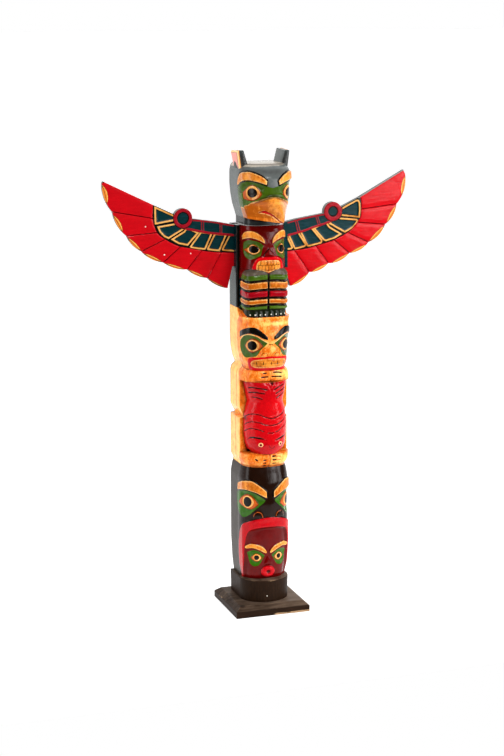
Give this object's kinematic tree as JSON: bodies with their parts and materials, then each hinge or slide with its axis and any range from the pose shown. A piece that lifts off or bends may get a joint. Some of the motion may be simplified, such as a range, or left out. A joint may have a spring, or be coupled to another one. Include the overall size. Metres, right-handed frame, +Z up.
{
  "type": "totem pole",
  "caption": "Carved and painted wooden totem pole with stacked animal faces, a hooked beak and spread wings, standing on a block and square board.",
  "frame": {"origin": "centre of the board's underside, on the floor", "axes": "+Z up along the pole, the faces look along -Y, +X is to the right of someone looking at them and the wings spread along X"},
  "size_m": [0.6768, 0.2381, 1],
  "materials": {
    "painted_post": "glossy hand-painted carving in many colours",
    "painted_wing": "glossy hand paint, red feathers with dark cells",
    "stained_wood": "dark brown-black stain, worn at the edges"
  },
  "bodies": {
    "root": {"totem_pole": "painted_post", "wing_left": "painted_wing", "wing_right": "painted_wing", "plinth_block": "stained_wood", "base_plate": "stained_wood"}
  },
  "joints": []
}
